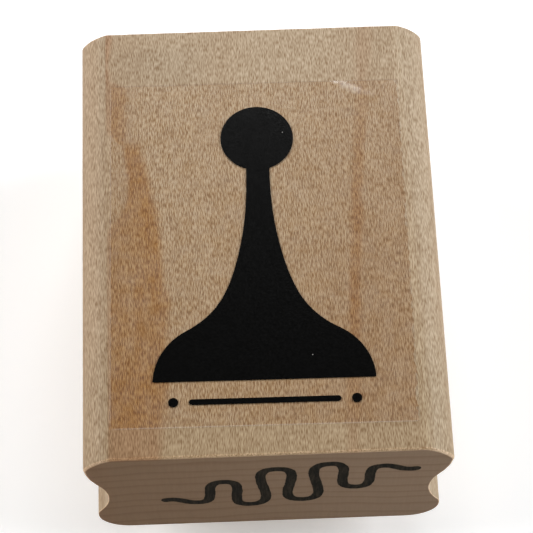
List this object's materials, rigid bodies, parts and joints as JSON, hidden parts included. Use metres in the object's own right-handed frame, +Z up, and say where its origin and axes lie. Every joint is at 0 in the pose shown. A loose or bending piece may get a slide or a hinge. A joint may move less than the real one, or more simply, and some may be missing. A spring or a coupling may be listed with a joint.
{
  "type": "wood-mounted rubber stamp",
  "caption": "Maple block with finger grooves, clear index label with a pawn print, and a cushioned rubber die that prints the same pawn.",
  "frame": {"origin": "centre of the block's plan at the printing face, where the stamp touches the paper", "axes": "+Z up out of the paper through the block, +Y along the wood grain towards the pawn's head, +X to the right across the finger grooves"},
  "size_m": [0.038, 0.0508, 0.0249],
  "materials": {
    "maple": "bare sanded hard maple",
    "clear_adhesive": "clear acrylic adhesive",
    "clear_film": "clear satin film",
    "label_ink": "black printing ink with a satin sheen",
    "marker_ink": "dry black marker soaked into end grain",
    "cushion_tape": "thin double-sided tape",
    "cushion_foam": "soft closed-cell foam",
    "die_rubber": "deep red moulded rubber, dull"
  },
  "bodies": {
    "block": {"wood_block": "maple", "label_adhesive": "clear_adhesive", "label_film": "clear_film", "label_ink_pawn": "label_ink", "label_ink_rule": "label_ink", "marker_scribble": "marker_ink", "cushion_tape_upper": "cushion_tape", "foam_cushion": "cushion_foam"},
    "die": {"cushion_tape_lower": "cushion_tape", "rubber_die": "die_rubber"}
  },
  "joints": [
    {"name": "die_press", "type": "slide", "parent": "block", "child": "die", "axis": [0, 0, 1], "range_m": [0, 0.0008], "stiffness_N_per_m": 800, "deforming": ["foam_cushion"]}
  ]
}
